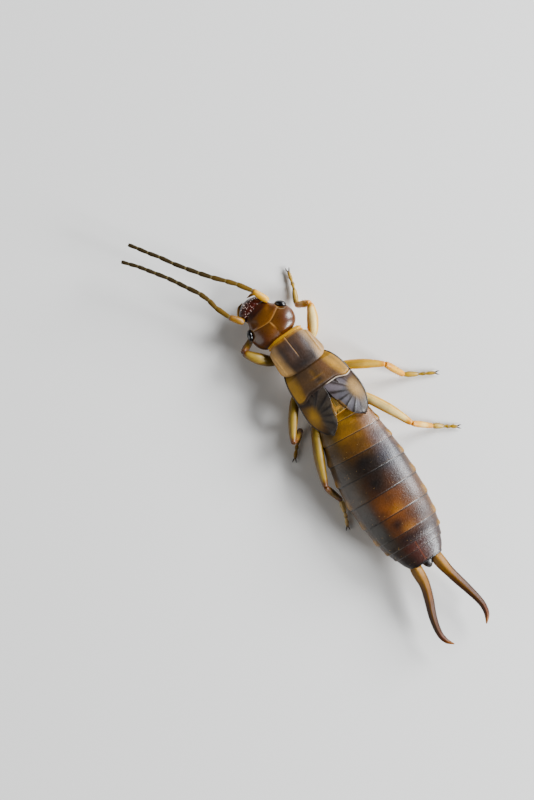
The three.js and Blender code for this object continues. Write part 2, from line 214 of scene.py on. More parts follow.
def length_share(t):
    """How far along a limb a row of its skin is, with the rows crowded at both ends."""
    return (1 - math.cos(math.pi * t)) / 2


def rounded(t, blunt):
    """Length share and thickness share of a limb with blunt round ends."""
    s = length_share(t)
    return s, max(0.0, 1 - abs(2 * s - 1) ** blunt) ** (1 / blunt)


def girth(thick, *shares):
    """A run of thickness along a limb, as shares of the same measure."""
    return run([thick * share for share in shares])


def limb(points, radius, sides, rows, flat=1.0, blunt=6, relief=None):
    """A round skin along a smooth line through points. radius(s) is for s from 0 to 1."""
    line = smooth_line(points)

    def station(t):
        s, end = rounded(t, blunt)
        place, ahead = line(s)
        side = ahead.cross(UP).normalized()
        thick = radius(s) * end
        return {"at": place, "side": side, "up": side.cross(ahead), "half": thick,
                "above": thick * flat, "below": thick * flat}

    return skin(sides, rows, station, relief)


def plate(columns, rows, place, thickness=PLATE_THICKNESS):
    """A thin curved plate from a grid: place(u, w) gives a point for u across and w along, 0 to 1."""
    bm = bmesh.new()
    bmesh.ops.create_grid(bm, x_segments=columns, y_segments=rows, size=0.5)
    across = bm.verts.layers.float.new("across")
    along = bm.verts.layers.float.new("along")
    for vertex in bm.verts:
        u, w = vertex.co.x + 0.5, vertex.co.y + 0.5
        vertex[across] = u
        vertex[along] = w
        vertex.co = place(u, w)
    bmesh.ops.recalc_face_normals(bm, faces=bm.faces)
    if sum(face.normal.z for face in bm.faces) < 0:
        bmesh.ops.reverse_faces(bm, faces=bm.faces)
    bmesh.ops.solidify(bm, geom=bm.faces[:], thickness=thickness)
    return bm


def paint(bm, colour):
    """Writes the colour of every point into the piece's own colour attribute."""
    shade = bm.verts.layers.float_color.new("shade")
    layers = [bm.verts.layers.float.get(name) for name in ("along", "around", "across")]
    for vertex in bm.verts:
        along, around, across = [vertex[layer] if layer else 0.0 for layer in layers]
        r, g, b = colour(vertex.co, along, around, across)
        vertex[shade] = (r, g, b, 1.0)


def join(parts):
    """One bmesh of several, with their colours."""
    mesh = bpy.data.meshes.new("parts")
    whole = bmesh.new()
    for part in parts:
        part.to_mesh(mesh)
        part.free()
        whole.from_mesh(mesh)
    bpy.data.meshes.remove(mesh)
    return whole


def add_object(name, data):
    obj = bpy.data.objects.new(name, data)
    bpy.context.scene.collection.objects.link(obj)
    return obj


def piece(name, bm, material, nodes=()):
    """Places a finished mesh in the row frame, in metres, and hides the CAD nodes it stands for."""
    for vertex in bm.verts:
        vertex.co = (vertex.co + SHIFT) * MM
    bmesh.ops.recalc_face_normals(bm, faces=bm.faces)
    mesh = bpy.data.meshes.new(name)
    bm.to_mesh(mesh)
    bm.free()
    mesh.polygons.foreach_set("use_smooth", [True] * len(mesh.polygons))
    mesh.materials.append(material)
    obj = add_object(name, mesh)
    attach(obj, "root")
    if nodes:
        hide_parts(*nodes)


# Materials

SATURATION = 1.25
FINE_SHARE = 0.4
PATCH_SIZE = 0.35
PIT_SIZE = 0.07
RELIEF_DEPTH = 0.02
COAT_ROUGHNESS = 0.12
THROUGH_REACH = (0.5, 0.3, 0.12)
THROUGH_DEPTH = 0.6


def cuticle(name, roughness, grain, grain_size, coat=0.0, patch=0.12, pits=0.0, through=0.0, depth=0.5,
            gleam=0.5):
    """Hard insect skin. Its colour is the piece's own, made uneven by fine grain and soft patches."""
    material = bpy.data.materials.new(name)
    material.use_nodes = True
    nodes, links = material.node_tree.nodes, material.node_tree.links

    def add(kind, operation=None, **inputs):
        node = nodes.new("ShaderNode" + kind)
        if operation:
            node.operation = operation
        for socket, value in inputs.items():
            node.inputs[socket.replace("_", " ")].default_value = value
        return node

    shader = nodes["Principled BSDF"]
    own = add("Attribute")
    own.attribute_name = "shade"
    place = add("TexCoord")
    fine = add("TexNoise", Scale=1 / (grain_size * MM), Detail=4.0)
    soft = add("TexNoise", Scale=1 / (PATCH_SIZE * MM), Detail=3.0)
    for texture in (fine, soft):
        links.new(place.outputs["Object"], texture.inputs["Vector"])
    both = add("Math", "MULTIPLY_ADD")
    both.inputs[1].default_value = FINE_SHARE
    links.new(fine.outputs["Fac"], both.inputs[0])
    links.new(soft.outputs["Fac"], both.inputs[2])
    value = add("MapRange", From_Min=0.45, From_Max=0.95,
                To_Min=depth * (1 - patch), To_Max=depth * (1 + patch))
    links.new(both.outputs[0], value.inputs["Value"])
    colour = add("HueSaturation", Saturation=SATURATION)
    links.new(own.outputs["Color"], colour.inputs["Color"])
    links.new(value.outputs["Result"], colour.inputs["Value"])
    links.new(colour.outputs["Color"], shader.inputs["Base Color"])
    rough = add("MapRange", From_Min=0.3, From_Max=0.7, To_Min=roughness * 0.8, To_Max=roughness * 1.25)
    links.new(fine.outputs["Fac"], rough.inputs["Value"])
    links.new(rough.outputs["Result"], shader.inputs["Roughness"])
    relief = add("Bump", Distance=RELIEF_DEPTH * MM, Strength=grain)
    height = fine.outputs["Fac"]
    if pits:
        cells = add("TexVoronoi", Scale=1 / (PIT_SIZE * MM))
        links.new(place.outputs["Object"], cells.inputs["Vector"])
        dent = add("Math", "MULTIPLY_ADD")
        dent.inputs[1].default_value = pits
        links.new(cells.outputs["Distance"], dent.inputs[0])
        links.new(fine.outputs["Fac"], dent.inputs[2])
        height = dent.outputs[0]
    links.new(height, relief.inputs["Height"])
    links.new(relief.outputs["Normal"], shader.inputs["Normal"])
    shader.inputs["Specular IOR Level"].default_value = gleam
    shader.inputs["Coat Weight"].default_value = coat
    shader.inputs["Coat Roughness"].default_value = COAT_ROUGHNESS
    if through:
        shader.inputs["Subsurface Weight"].default_value = through
        shader.inputs["Subsurface Radius"].default_value = THROUGH_REACH
        shader.inputs["Subsurface Scale"].default_value = THROUGH_DEPTH * MM
    return material


SHELL = cuticle("polished_head_shell", 0.32, 0.15, 0.04, coat=0.2, patch=0.24, pits=0.3)
SHIELD = cuticle("satin_back_plate", 0.46, 0.35, 0.05, coat=0.05, patch=0.3)
PAD = cuticle("veined_wing_pad", 0.42, 0.35, 0.045, coat=0.05, patch=0.3)
BELLY = cuticle("satin_abdomen", 0.38, 0.45, 0.04, coat=0.08, patch=0.34, pits=0.4)
TONGS = cuticle("polished_forceps", 0.42, 0.25, 0.05, patch=0.3, depth=0.44, gleam=0.22)
AMBER = cuticle("clear_amber_limb", 0.4, 0.2, 0.05, patch=0.18, through=0.2, depth=0.8, gleam=0.4)
MEMBRANE = cuticle("soft_joint_skin", 0.5, 0.4, 0.05, through=0.3, depth=0.7)
FEELER = cuticle("downy_antenna", 0.75, 0.5, 0.03, depth=0.6, gleam=0.15)
MOUTH = cuticle("dark_mouthparts", 0.2, 0.9, 0.05, coat=0.5, pits=0.8)
EYE = cuticle("black_eye", 0.22, 0.0, 0.03, coat=0.2, patch=0.05, pits=0.6)
HAIR = cuticle("pale_bristle", 0.4, 0.2, 0.03, depth=0.7)


# Head, with its own forward, left and up directions

HEAD_DROOP = 0.14
FORWARD = Vector((math.sin(HEAD_TURN), -math.cos(HEAD_TURN), -HEAD_DROOP)).normalized()
LEFT = Vector((math.cos(HEAD_TURN), math.sin(HEAD_TURN), 0))
CROWN = LEFT.cross(FORWARD).normalized()
if CROWN.z < 0:
    CROWN.negate()


def on_head(forward, aside, up):
    return NECK + FORWARD * forward + LEFT * aside + CROWN * up


def head_place(point):
    """Forward, aside and up of a point, read from the neck."""
    gap = point - NECK
    return gap.dot(FORWARD), gap.dot(LEFT), gap.dot(CROWN)


EYES = {side: on_head(EYE_FORWARD, EYE_ASIDE * sign, EYE_UP) for side, sign in SIDES}

# From the frame of the shapes to the row's frame, by the place of the left eye in both
low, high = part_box("eye_left")
SHIFT = (Vector(low) + Vector(high)) / 2 / MM - EYES["left"]
SHIFT.z = 0

HEAD_HALF = keyed([(0.0, 0.62), (0.12, 0.78), (0.3, 0.9), (0.52, 0.955), (0.74, 0.93), (0.94, 0.83),
                   (1.1, 0.7), (1.26, 0.58), (1.42, 0.51), (1.6, 0.44)])
HEAD_ABOVE = keyed([(0.0, 0.2), (0.16, 0.33), (0.45, 0.41), (0.8, 0.42), (1.1, 0.38), (1.36, 0.28),
                    (1.6, 0.18)])
HEAD_BELOW = keyed([(0.0, 0.22), (0.2, 0.38), (0.6, 0.44), (1.0, 0.4), (1.6, 0.24)])

# The pale Y of the head's seams: where its stem forks, and where its arms end
FORK_FORWARD, FORK_ASIDE = 0.7, -0.06
ARM_FORWARD, ARM_REACH = 1.02, 0.74
ARM_SLOPE = 0.8
NO_SEAM = 1.0


def suture_gap(forward, aside):
    """How far a point of the crown is from the seams."""
    if forward < FORK_FORWARD:
        return abs(aside - FORK_ASIDE * forward / FORK_FORWARD)
    reach = abs(aside - FORK_ASIDE)
    share = clamp(reach / ARM_REACH)
    arm = FORK_FORWARD + 0.03 + (ARM_FORWARD - FORK_FORWARD - 0.08) * share ** 1.4
    return abs(forward - arm) * ARM_SLOPE if reach < ARM_REACH + 0.06 else NO_SEAM


def head_relief(t, angle, point):
    f, a, h = head_place(point)
    if h < 0:
        return 0.0
    seam = -0.014 * bump(suture_gap(f, a), 0, 0.045)
    temples = 0.035 * bump(f, 0.38, 0.42) * bump(abs(a), 0.48, 0.45)
    stem = -0.03 * bump(a, 0, 0.25) * bump(f, 0.1, 0.5)
    face = -0.014 * bump(f, 1.3, 0.12) * bump(abs(a), 0, 0.55)
    brow = -0.03 * bump(f, 1.12, 0.2) * bump(abs(a), 0.42, 0.2)
    socket = -0.05 * max(0.0, 1 - ((f - EYE_FORWARD) / 0.26) ** 2 - ((abs(a) - EYE_ASIDE) / 0.2) ** 2)
    return seam + temples + stem + face + brow + socket


def head_station(t):
    s, end = rounded(t, 9)
    f = HEAD_LENGTH * s
    return {"at": on_head(f, 0, 0), "side": LEFT, "up": CROWN, "half": HEAD_HALF(f) * end,
            "above": HEAD_ABOVE(f) * end, "below": HEAD_BELOW(f) * end, "square": 2.2}


FRONS = "#865012"
VERTEX = "#6e482c"
TEMPLE = "#5a3626"
FACE = "#4e2210"
SEAM = "#d2a67a"
CHEEK = "#6e340e"
FRONS_SIDE = "#6e3a10"
NAPE = "#8a4812"
THROAT = "#9a5a1c"
EYE_RIM = "#b9a582"


def head_colour(point, along, around, across):
    f, a, h = head_place(point)
    seam = FORK_FORWARD + 0.33 * abs(a)
    front = ease(f, seam - 0.04, seam + 0.1)
    colour = washed(
        srgb(VERTEX),
        (TEMPLE, bump(abs(a), 0.6, 0.5) * bump(f, 0.35, 0.5)),
        (FRONS, front),
        (FRONS_SIDE, 0.7 * front * ease(abs(a), 0.25, 0.6)),
        (NAPE, 0.8 * bump(f, 0.02, 0.2) * bump(abs(a), 0.12, 0.5)),
        (FACE, ease(f, 1.2, 1.36)),
        ("#2c0c05", 0.7 * bump(f, 1.32, 0.07) * bump(abs(a), 0, 0.5)),
        (CHEEK, ease(abs(a), 0.78, 0.95) * (1 - front) * 0.5),
    )
    if h <= 0:
        return washed(colour, (THROAT, 0.6))
    rim = math.hypot((f - EYE_FORWARD) / 0.25, (abs(a) - EYE_ASIDE + 0.02) / 0.17)
    stem = 1 - 0.6 * ease(FORK_FORWARD - f, 0.1, 0.65)
    return washed(
        colour,
        (SEAM, bump(suture_gap(f, a), 0, 0.026) * 0.85 * stem),
        (EYE_RIM, 0.7 * bump(rim, 0.98, 0.12) * (1 - ease(abs(a), 0.82, 0.9))),
    )


head = skin(160, 120, head_station, head_relief)
paint(head, head_colour)
piece("head_shell", head, SHELL, ["head"])

for side, sign in SIDES:
    ahead = (FORWARD * 0.82 - LEFT * (0.57 * sign)).normalized()
    aside = ahead.cross(CROWN).normalized()

    def eye_station(t):
        s = -math.cos(math.pi * t)
        wide = math.sqrt(max(0.0, 1 - s * s))
        middle = EYES[side] + CROWN * 0.05 - LEFT * (0.015 * sign)
        return {"at": middle + ahead * (s * EYE_HALF.y), "side": aside, "up": CROWN,
                "half": EYE_HALF.x * wide, "above": EYE_HALF.z * wide, "below": EYE_HALF.z * wide}

    eye = skin(40, 28, eye_station)
    paint(eye, lambda *_: srgb("#08080c"))
    piece("eye_dome_" + side, eye, EYE, ["eye_" + side])

# Lip, jaws and palps

# Tiny domes on the upper lip, coloured pale as painted glints of light on its grainy surface
LIP_GLINT_GRAINS = 46
lip_rise = run([-0.12, 0.0, 0.03, -0.01, -0.08])
lip_half = run([0.46, 0.53, 0.53, 0.45, 0.26])


def lip_station(t):
    s, end = rounded(t, 4)
    return {"at": on_head(HEAD_LENGTH - 0.3 + 0.69 * s, 0.07, lip_rise(s)), "side": LEFT, "up": CROWN,
            "half": lip_half(s) * end, "above": 0.18 * end, "below": 0.12 * end}


lip = skin(56, 32, lip_station)
paint(lip, lambda *_: srgb("#5a1a0a"))
glint_grains = []
lip_top = [v for v in lip.verts if head_place(v.co)[2] > 0.1]
for vertex in dice.sample(lip_top, LIP_GLINT_GRAINS):
    grain = bmesh.new()
    bmesh.ops.create_icosphere(grain, subdivisions=1, radius=0.012 + 0.01 * dice.random(),
                               matrix=Matrix.Translation(vertex.co))
    # painted glint: each dome is pale where the lip's surface would catch the light
    paint(grain, lambda *_: srgb("#e6d2c8"))
    glint_grains.append(grain)
piece("lip_glint_grains", join(glint_grains), HAIR)
piece("lip", lip, MOUTH, ["labrum"])

JAW_LINE = [(-0.3, 0.22, -0.36), (0.04, 0.3, -0.28), (0.26, 0.2, -0.24), (0.32, 0.05, -0.24)]
PALP_LINE = [(-0.5, 0.42, -0.34), (-0.1, 0.5, -0.32), (0.16, 0.58, -0.2), (0.37, 0.4, -0.16),
             (0.44, 0.12, -0.16)]


def mouth_line(line, sign):
    """Points of one side, each given by how far it is past the front of the head, aside and up."""
    return [on_head(HEAD_LENGTH + past, sign * aside, up) for past, aside, up in line]


for side, sign in SIDES:
    jaw = limb(mouth_line(JAW_LINE, sign), run([0.12, 0.12, 0.08, 0.03]), 20, 24)
    paint(jaw, lambda *_: srgb("#3a1006"))
    piece("jaw_" + side, jaw, MOUTH, ["mandible_" + side])
    palp = limb(mouth_line(PALP_LINE, sign), run([0.07, 0.075, 0.06, 0.075, 0.05, 0.06, 0.02]), 16, 48)
    paint(palp, lambda p, t, *_: srgb("#a87c34").lerp(srgb("#5a4014"), ease(t, 0.6, 0.8)))
    piece("palp_skin_" + side, palp, AMBER, ["palp_" + side])

# Antennae

ANTENNA_JOINTS = {
    "left": [(1.33, -5.88, 0.98), (1.54, -6.45, 1.06), (1.59, -6.82, 1.12), (1.73, -7.22, 1.17),
             (1.98, -7.66, 1.2), (2.18, -8.03, 1.22), (2.37, -8.37, 1.25), (2.64, -8.77, 1.28),
             (2.84, -9.07, 1.3), (3.02, -9.34, 1.3), (3.24, -9.61, 1.3), (3.42, -9.83, 1.3)],
    "right": [(0.07, -6.2, 1.0), (0.4, -6.72, 1.1), (0.67, -7.05, 1.15), (1.02, -7.46, 1.2),
              (1.32, -7.86, 1.25), (1.61, -8.27, 1.29), (1.9, -8.7, 1.32), (2.17, -9.17, 1.35),
              (2.43, -9.54, 1.36), (2.65, -9.9, 1.36), (2.85, -10.2, 1.36)],
}
# The left scape is painted darker as shade and the right one paler as light
SCAPE_TONES_LIT_AND_SHADED = {"left": srgb("#8a6018"), "right": srgb("#e0ac50")}
JOINT_THICK = 0.094
JOINT_THINNING = 0.0026
SOCKETS = {"left": Vector((1.0, -5.42, 0.84)), "right": Vector((-0.2, -5.56, 0.86))}


def antenna_colour(joint):
    def colour(point, along, around, across):
        dark = srgb("#35280c").lerp(srgb("#6a4e12"), 1 - ease(joint, 0, 3.5))
        pale = srgb("#7c7054")
        rim = 1 - ease(along, 0.1, 0.28)
        return dark.lerp(pale, 0.9 * max(rim, ease(along, 0.86, 0.95)))
    return colour


for side in ("left", "right"):
    joints = [Vector(p) for p in ANTENNA_JOINTS[side]]
    root = SOCKETS[side]
    scape = limb([root, root.lerp(joints[0], 0.5) + Vector((0, 0, 0.02)), joints[0]],
                 run([0.11, 0.13, 0.132, 0.126, 0.116, 0.102]), 28, 40, blunt=8)
    paint(scape, lambda p, t, *_: SCAPE_TONES_LIT_AND_SHADED[side].lerp(srgb("#7e5018"), ease(t, 0.6, 0.95)))
    piece("antenna_scape_" + side, scape, AMBER, ["antenna_base_" + side])
    lengths = []
    for i, (a, b) in enumerate(zip(joints, joints[1:])):
        thick = girth(JOINT_THICK - JOINT_THINNING * i, 0.84, 0.92, 1, 1.05, 1.05, 0.86)
        ahead = (b - a).normalized()
        bead = limb([a - ahead * 0.01, a.lerp(b, 0.5), b + ahead * 0.012], thick, 20, 30, blunt=14)
        paint(bead, antenna_colour(i))
        lengths.append(bead)
    piece("antenna_lash_" + side, join(lengths), FEELER,
          ["antenna_inner_" + side, "antenna_outer_" + side])

# Neck and the trunk under the plates

spine = run([0.09, 0.05, 0.01, -0.06, -0.06])


def middle_x(y):
    return spine((y - NECK.y) / (THORAX_REAR - NECK.y))


def neck_station(t):
    s, end = rounded(t, 6)
    y = NECK.y - 0.1 + 0.5 * s
    fold = 1 + 0.03 * math.cos(s * 9 * math.pi)
    return {"at": Vector((middle_x(y), y, 0.94)), "side": WEST, "up": UP, "half": 0.74 * end * fold,
            "above": 0.3 * end * fold, "below": 0.34 * end * fold, "square": 2.4}


neck = skin(64, 60, neck_station)
paint(neck, lambda p, t, *_: srgb("#f0b65c").lerp(srgb("#b8781f"), ease(t, 0.35, 0.6)))
piece("neck_skin", neck, MEMBRANE, ["neck"])

TRUNK_FRONT = PRONOTUM_FRONT + 0.1
TRUNK_REAR = THORAX_REAR + 0.3
trunk_half = run([0.5, 0.66, 0.66, 0.6, 0.68, 0.66, 0.62, 0.72, 0.7, 0.7])


def trunk_station(t):
    s, end = rounded(t, 8)
    y = TRUNK_FRONT + (TRUNK_REAR - TRUNK_FRONT) * s
    return {"at": Vector((middle_x(y), y, 0.86)), "side": WEST, "up": UP, "half": trunk_half(s) * end,
            "above": 0.42 * end, "below": 0.4 * end * (1 + 0.06 * math.cos(s * 6 * math.pi)), "square": 2.4}


trunk = skin(64, 90, trunk_station)
paint(trunk, lambda *_: srgb("#a87a34"))
piece("thorax_trunk", trunk, MEMBRANE, ["prothorax"])

# Pronotum

pronotum_half = keyed([(0.0, 0.76), (0.1, 0.83), (0.3, 0.88), (0.6, 0.94), (0.82, 0.95), (1.0, 0.86)])


def pronotum_place(u, w):
    a = 2 * u - 1
    corner = (0.2 if w < 0.5 else 0.14) * abs(a) ** 6 * abs(2 * w - 1) ** 3
    bow = 0.05 * (1 - a * a) * ease(w, 0.5, 1)
    y = PRONOTUM_FRONT + (PRONOTUM_REAR - PRONOTUM_FRONT) * w + (corner if w < 0.5 else bow - corner)
    half = pronotum_half(w)
    disc = 1 - ease(abs(a) * half, 0.42, 0.78)
    groove = bump(a, 0, 0.05) * (1 - ease(w, 0.6, 0.75))
    step = bump(abs(a) * half, 0.79, 0.05)
    z = 1.32 + 0.04 * disc - 0.16 * a * a + 0.06 * math.sin(math.pi * w) - 0.014 * groove + 0.008 * step
    z += 0.02 * bump(abs(a) * half, 0.3, 0.25) * bump(w, 0.45, 0.4) + 0.04 * ease(w, 0.6, 1) * (1 - a * a)
    return Vector((middle_x(y) + a * half, y, z))


PRONOTUM_RIDGES = (0.7, 0.77)
disc_tone = ramp((0.0, "#5a402a"), (0.3, "#4a3830"), (0.62, "#3e2c22"), (0.85, "#2a1a10"), (1.0, "#4a3626"))


def pronotum_colour(point, w, around, u):
    a = (2 * u - 1) * pronotum_half(w)
    margin = abs(a + 0.03) - 0.06 * math.sin(math.pi * w)
    colour = washed(
        disc_tone(w),
        ("#cca678", ease(margin, 0.41, 0.71)),
        ("#5e4636", 0.5 * bump(abs(a), 0.3, 0.16) * (1 - ease(w, 0.3, 0.8))),
    )
    for ridge in PRONOTUM_RIDGES:
        colour = washed(colour, ("#c9a070", 0.35 * bump(abs(a), ridge, 0.02)))
    return washed(
        colour,
        ("#8a6236", 0.5 * ease(abs(a), 0.86, 0.93)),
        ("#c98c30", 0.85 * (1 - ease(w, 0.0, 0.1)) * (1 - 0.5 * bump(a, 0, 0.3))),
        ("#c8a078", bump(a, 0.0, 0.022) * (1 - ease(w, 0.5, 0.7))),
        ("#1a0c06", 0.85 * bump(w, 0.84, 0.1) * bump(a, -0.02, 0.3)),
        ("#1c120a", 0.6 * ease(w, 0.965, 0.985)),
    )


pronotum = plate(110, 80, pronotum_place)
paint(pronotum, pronotum_colour)
piece("pronotum_plate", pronotum, SHIELD)

# Middle back plate with the front wing pads

MESO_UNDERLAP = 0.22
meso_left = keyed([(0.0, 0.9), (0.2, 1.0), (0.45, 1.09), (0.75, 1.15), (1.0, 1.17)])
meso_right = keyed([(0.0, 0.86), (0.2, 1.02), (0.45, 1.13), (0.75, 1.18), (1.0, 1.18)])


def meso_reach(u, w):
    return meso_left(w) if u > 0.5 else meso_right(w)


def meso_place(u, w):
    a = 2 * u - 1
    rear = MESO_REAR - 0.06 + 0.16 * ease(abs(a), 0.45, 0.85) - 0.12 * abs(a) ** 10
    y = PRONOTUM_REAR - MESO_UNDERLAP + (rear - PRONOTUM_REAR + MESO_UNDERLAP) * w
    across = a * meso_reach(u, w)
    z = 1.22 + 0.2 * (1 - abs(a) ** 1.9) + 0.03 * math.sin(math.pi * w) - 0.2 * (1 - ease(w, 0, 0.25))
    z += 0.02 * bump(w, 0.975, 0.03) * ease(-a, -0.1, 0.2) - 0.012 * bump(w, 0.92, 0.05)
    z += 0.005 * bump(abs(across), 0.2, 0.16) * bump(w, 0.6, 0.4) - 0.004 * bump(across, 0, 0.12)
    return Vector((middle_x(y) + across, y, z))


def meso_colour(point, w, around, u):
    across = (2 * u - 1) * meso_reach(u, w)
    edge = meso_reach(u, w) - abs(across)
    inner = 0.54 + 0.26 * w * w
    band = srgb("#a47828").lerp(srgb("#cf983e"), ease(-across, -0.4, 0.4))
    colour = washed(
        srgb("#4e3a28"),
        ("#62401a", ease(-across, 0.05, 0.5)),
        ("#6e4220", 0.5 * bump(across, -0.5, 0.25) * bump(w, 0.4, 0.4)),
    )
    return washed(
        colour.lerp(band, ease(abs(across), inner - 0.06, inner + 0.24)),
        ("#a07a34", 0.7 * bump(edge, 0.17, 0.1)),
        ("#86602a", 0.7 * bump(across, -0.08, 0.4) * bump(w, 0.62, 0.05)),
        ("#7a5620", 0.7 * bump(across, -0.04, 0.22) * bump(w, 0.84, 0.05)),
        ("#6a4c1e", 0.5 * bump(across, 0.0, 0.14) * bump(w, 0.45, 0.2)),
        ("#1e120a", 0.8 * bump(across, 0.0, 0.25) * bump(w, 0.73, 0.05)),
        ("#21140b", 0.6 * ease(w, 0.86, 0.93) * (1 - ease(abs(across), 0.5, 0.8))),
        # painted highlight: a pale rear edge on the right half only, where the raised lip catches the light
        ("#efdccb", 0.9 * ease(w, 0.955, 0.975) * ease(-across, 0.0, 0.4)),
        ("#2c1c10", 0.85 * ease(w, 0.9, 0.97) * ease(across, 0.0, 0.3)),
        ("#1c110a", 1 - ease(edge, 0.03, 0.07)),
    )


meso = plate(130, 90, meso_place)
paint(meso, meso_colour)
piece("mesonotum_plate", meso, PAD,
      ["mesothorax", "wing_pad_fore_left", "wing_pad_fore_right"])

# Hind back plate and the hind wing pads with their fans of veins

pad_outer = keyed([(0.0, 1.17), (0.2, 1.21), (0.42, 1.235), (0.62, 1.19), (0.78, 1.08), (0.9, 0.95),
                   (1.0, 0.79)])
pad_inner = keyed([(0.0, 0.0), (0.3, 0.04), (0.52, 0.16), (0.66, 0.22), (0.76, 0.28), (0.86, 0.38),
                   (0.94, 0.52), (1.0, 0.72)])
FAN_ROOT = Vector((0.98, -1.02))
VEINS_PER_TURN = 15
PAD_UNDERLAP = 0.2
# Tones of the hind pads, left (1) and right (-1): the right pad's patch and front are painted paler than
# the left's as light on its lit side, over the real ochre patch, and the blue-grey between its veins is a
# painted sheen
PAD_TONES_LIT_AND_SHADED = {1: {"patch": "#a8844e", "front": "#281a12", "between": "#4c443a"},
             -1: {"patch": "#e0ba88", "front": "#4a3830", "between": "#8a8690"}}


def pad_step(u, w, sign):
    """Share across the pad, from its inner to its outer edge, and how far out from the midline that is."""
    share = u if sign > 0 else 1 - u
    return share, pad_inner(w) + (pad_outer(w) - pad_inner(w)) * share


def fan(across, y):
    """Height share of the veins, which run from the fan's root to the inner and rear edges of a pad, and
    their strength."""
    out, back = FAN_ROOT.x - across, y - FAN_ROOT.y
    away = math.hypot(out, back)
    angle = math.atan2(back, out)
    wave = math.cos(angle * VEINS_PER_TURN) * 0.5 + 0.5
    return wave ** 3, ease(away, 0.2, 0.62) * (1 - ease(abs(angle), 1.1, 1.35))


def pad_y(w):
    return MESO_REAR - PAD_UNDERLAP + (HIND_PAD_REAR - MESO_REAR + PAD_UNDERLAP) * w


def pad_place(sign):
    def place(u, w):
        share, across = pad_step(u, w, sign)
        y = pad_y(w)
        vein, strength = fan(across, y)
        z = 1.32 + 0.04 * ease(w, 0.1, 0.5) - 0.1 * ease(w, 0.55, 1.0) - 0.22 * share ** 1.5
        z += 0.014 * vein * strength + 0.01 * bump(share, 0.97, 0.04) - 0.012 * (1 - ease(share, 0.0, 0.2))
        return Vector((middle_x(y) + sign * across, y, z))
    return place


def pad_colour(sign):
    def colour(point, w, around, u):
        share, across = pad_step(u, w, sign)
        wide = pad_outer(w) - pad_inner(w)
        y = pad_y(w)
        vein, strength = fan(across, y)
        beside = abs(across - 0.93 - 0.12 * (y + 1.1))
        patch = (1 - ease(beside, 0.0, 0.34)) * (1 - ease(abs(y + 1.08), 0.0, 0.66))
        # the side's tones carry painted light: paler on the right pad, with a painted sheen between its
        # veins
        tones = PAD_TONES_LIT_AND_SHADED[sign]
        return washed(
            srgb("#2e2620"),
            ("#503a22", ease(across, 0.68, 0.85)),
            (tones["patch"], 0.9 * patch),
            (tones["front"], 1 - ease(y + 0.3 * across, -1.3, -1.1)),
            ("#120c0a", 0.75 * vein * strength),
            (tones["between"], 0.45 * (1 - vein) * strength),
            ("#291d14", 0.7 * ease(y, -0.6, -0.25)),
            ("#8a6420", 0.8 * bump(share * wide, 0.03, 0.05) * bump(y, -0.8, 0.45)),
            ("#180f09", 1 - ease((1 - share) * wide, 0.03, 0.06)),
        )
    return colour


for side, sign in SIDES:
    pad = plate(90, 110, pad_place(sign))
    paint(pad, pad_colour(sign))
    piece("hind_wing_pad_" + side, pad, PAD, ["wing_pad_hind_" + side])


def saddle_notch(a, w):
    """Strength of the dark folds where the plate between the pads meets their inner edges."""
    return bump(abs(a) * 0.5, 0.16 * w, 0.05) * ease(w, 0.35, 0.6)


def saddle_place(u, w):
    a = 2 * u - 1
    y = MESO_REAR - 0.1 + 1.16 * w
    z = 1.27 + 0.02 * (1 - a * a) - 0.03 * saddle_notch(a, w) - 0.05 * ease(w, 0.6, 1)
    return Vector((middle_x(y) + a * 0.55, y, z))


def saddle_colour(point, w, around, u):
    a = 2 * u - 1
    return washed(
        srgb("#2a1c12"),
        ("#8c6a1c", ease(w, 0.42, 0.56)),
        ("#160d08", 0.9 * bump(a, 0, 0.05) * ease(w, 0.5, 0.6)),
        ("#1a100a", 0.85 * saddle_notch(a, w)),
    )


saddle = plate(50, 60, saddle_place, 0.04)
paint(saddle, saddle_colour)
piece("metanotum_saddle", saddle, PAD, ["metathorax"])

# Abdomen

abdomen_front, abdomen_rear = SEGMENT_ENDS[0], SEGMENT_ENDS[-1]
RINGS = len(SEGMENT_ENDS) - 1
RING_ROWS = 30
belly_middle = run([-0.02, 0.1, 0.23, 0.33, 0.39, 0.45, 0.5])
belly_half = run([0.98, 1.18, 1.36, 1.42, 1.36, 1.17, 0.74])
belly_top = run([0.98, 1.24, 1.5, 1.66, 1.66, 1.52, 1.16])
belly_bottom = run([0.44, 0.3, 0.22, 0.2, 0.24, 0.4, 0.66])
RING_LIP = 0.018
ROW_CROWDING = 0.09
WIDEST_LEVEL = 0.44
LEAN_STEP = 0.02
LOBE_ANGLE = 0.16


def ring_place(t):
    """Index of the ring at a row of the abdomen's skin, and how far along that ring it is."""
    row = clamp(t * (RINGS * RING_ROWS + 2) - 1, 0, RINGS * RING_ROWS)
    ring = min(int(row / RING_ROWS), RINGS - 1)
    share = row / RING_ROWS - ring
    return ring, share - ROW_CROWDING * math.sin(2 * math.pi * share)


def abdomen_at(ring, share):
    y = SEGMENT_ENDS[ring] + (SEGMENT_ENDS[ring + 1] - SEGMENT_ENDS[ring]) * share
    return y, (y - abdomen_front) / (abdomen_rear - abdomen_front)


